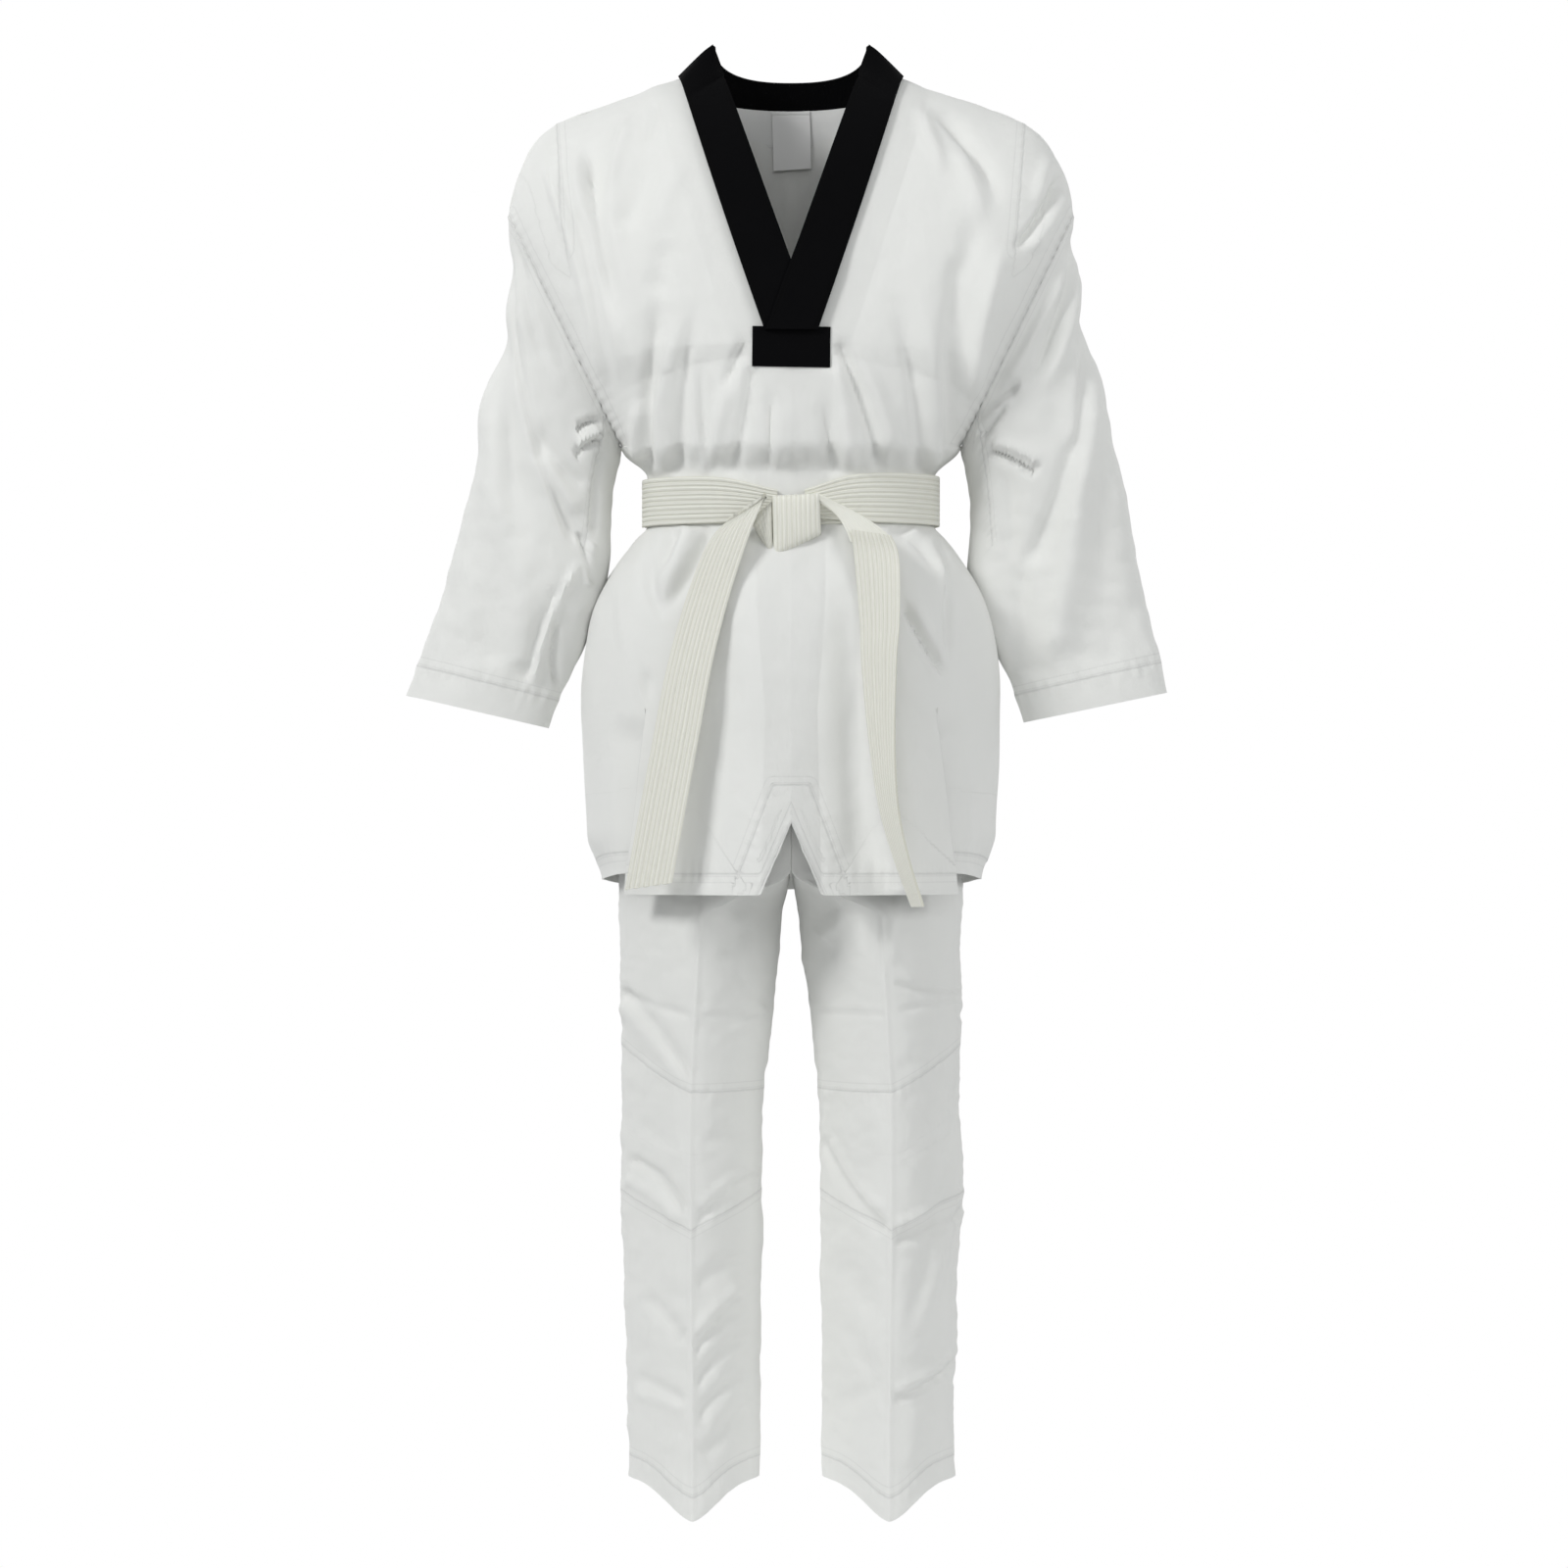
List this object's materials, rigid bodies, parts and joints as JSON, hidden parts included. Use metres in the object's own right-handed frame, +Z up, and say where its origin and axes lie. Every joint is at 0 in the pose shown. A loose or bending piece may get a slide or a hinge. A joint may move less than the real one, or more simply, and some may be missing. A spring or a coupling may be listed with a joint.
{
  "type": "martial arts uniform",
  "caption": "Pullover V-neck martial arts jacket with a black collar and tied belt, over straight pressed trousers with knee panels, hanging as worn.",
  "frame": {"origin": "between the shoulders at the level of the neck seam, where a wearer or a hanger carries the jacket", "axes": "+Z up, -Y out of the front of the uniform, +X towards the right as seen from the front"},
  "size_m": [0.7382, 0.3344, 1.42],
  "materials": {
    "jacket_cloth": "white cotton-blend cloth with a fine diagonal rib, matt",
    "lining_cloth": "thinner white lining cloth, matt",
    "collar_cloth": "black woven collar band, matt",
    "belt_webbing": "cream cotton belt with lengthwise stitch rows, matt",
    "trouser_cloth": "white pressed cotton-blend cloth, matt",
    "elastic": "woven covered elastic, matt",
    "label_cloth": "smooth satin label, slight sheen"
  },
  "bodies": {
    "jacket": {"front_panel": "jacket_cloth", "back_panel": "jacket_cloth", "left_side_skirt": "jacket_cloth", "right_side_skirt": "jacket_cloth", "left_shoulder_lining": "lining_cloth", "right_shoulder_lining": "lining_cloth", "back_neck_facing": "lining_cloth", "collar_left": "collar_cloth", "collar_right": "collar_cloth", "collar_back": "collar_cloth", "collar_patch": "collar_cloth", "left_sleeve_head": "jacket_cloth", "right_sleeve_head": "jacket_cloth", "left_underarm_gusset": "jacket_cloth", "right_underarm_gusset": "jacket_cloth", "belt_inner_wrap": "belt_webbing", "belt_outer_wrap": "belt_webbing", "belt_knot": "belt_webbing", "belt_knot_fold": "belt_webbing"},
    "front_flap": {"front_flap": "jacket_cloth", "front_notch_facing": "lining_cloth"},
    "back_flap": {"back_flap": "jacket_cloth"},
    "neck_label": {"neck_label": "label_cloth"},
    "left_sleeve": {"left_sleeve": "jacket_cloth"},
    "right_sleeve": {"right_sleeve": "jacket_cloth"},
    "left_belt_tail": {"belt_tail_left": "belt_webbing"},
    "right_belt_tail": {"belt_tail_right": "belt_webbing"},
    "trousers": {"waistband": "trouser_cloth", "waist_elastic": "elastic", "waistband_facing": "lining_cloth", "left_hip_front": "trouser_cloth", "left_hip_back": "trouser_cloth", "right_hip_front": "trouser_cloth", "right_hip_back": "trouser_cloth", "crotch_gusset": "trouser_cloth", "left_thigh_top": "trouser_cloth", "right_thigh_top": "trouser_cloth"},
    "left_leg": {"left_thigh_front": "trouser_cloth", "left_thigh_back": "trouser_cloth", "left_knee_panel": "trouser_cloth", "left_knee_back": "trouser_cloth"},
    "left_shin": {"left_shin_front": "trouser_cloth", "left_shin_back": "trouser_cloth"},
    "right_leg": {"right_thigh_front": "trouser_cloth", "right_thigh_back": "trouser_cloth", "right_knee_panel": "trouser_cloth", "right_knee_back": "trouser_cloth"},
    "right_shin": {"right_shin_front": "trouser_cloth", "right_shin_back": "trouser_cloth"}
  },
  "joints": [
    {"name": "front_flap_lift", "type": "hinge", "parent": "jacket", "child": "front_flap", "pos_m": [0, -0.1375, -0.6], "axis": [-1, 0, 0], "range_deg": [0, 60]},
    {"name": "left_tail_lift", "type": "hinge", "parent": "jacket", "child": "left_belt_tail", "pos_m": [0, -0.1115, -0.4], "axis": [-1, 0, 0], "range_deg": [0, 34]},
    {"name": "right_tail_lift", "type": "hinge", "parent": "jacket", "child": "right_belt_tail", "pos_m": [0, -0.1115, -0.4], "axis": [-1, 0, 0], "range_deg": [0, 34]},
    {"name": "back_flap_lift", "type": "hinge", "parent": "jacket", "child": "back_flap", "pos_m": [0, 0.1375, -0.6], "axis": [1, 0, 0], "range_deg": [0, 50]},
    {"name": "label_flip", "type": "hinge", "parent": "jacket", "child": "neck_label", "pos_m": [0, 0.0737, 0.003], "axis": [-1, 0, 0], "range_deg": [0, 90]},
    {"name": "left_sleeve_raise", "type": "hinge", "parent": "jacket", "child": "left_sleeve", "pos_m": [-0.24, 0, -0.187], "axis": [0, 1, 0], "range_deg": [0, 60], "deforming": ["left_sleeve_head", "left_underarm_gusset"]},
    {"name": "right_sleeve_raise", "type": "hinge", "parent": "jacket", "child": "right_sleeve", "pos_m": [0.24, 0, -0.187], "axis": [0, -1, 0], "range_deg": [0, 60], "deforming": ["right_sleeve_head", "right_underarm_gusset"]},
    {"name": "trousers_pull_down", "type": "slide", "parent": "jacket", "child": "trousers", "axis": [0, 0, -1], "range_m": [0, 0.36]},
    {"name": "left_leg_swing", "type": "hinge", "parent": "trousers", "child": "left_leg", "pos_m": [-0.088, 0, -0.752], "axis": [-1, 0, 0], "range_deg": [-25, 30], "deforming": ["left_thigh_top"]},
    {"name": "left_knee_bend", "type": "hinge", "parent": "left_leg", "child": "left_shin", "pos_m": [-0.096, 0.03, -1.018], "axis": [1, 0, 0], "range_deg": [0, 60], "deforming": ["left_knee_panel", "left_knee_back"]},
    {"name": "right_leg_swing", "type": "hinge", "parent": "trousers", "child": "right_leg", "pos_m": [0.088, 0, -0.752], "axis": [-1, 0, 0], "range_deg": [-25, 30], "deforming": ["right_thigh_top"]},
    {"name": "right_knee_bend", "type": "hinge", "parent": "right_leg", "child": "right_shin", "pos_m": [0.096, 0.03, -1.018], "axis": [1, 0, 0], "range_deg": [0, 60], "deforming": ["right_knee_panel", "right_knee_back"]}
  ],
  "couplings": [
    {"joint": "left_tail_lift", "follows": "front_flap_lift", "ratio": 0.56},
    {"joint": "right_tail_lift", "follows": "front_flap_lift", "ratio": 0.56}
  ]
}
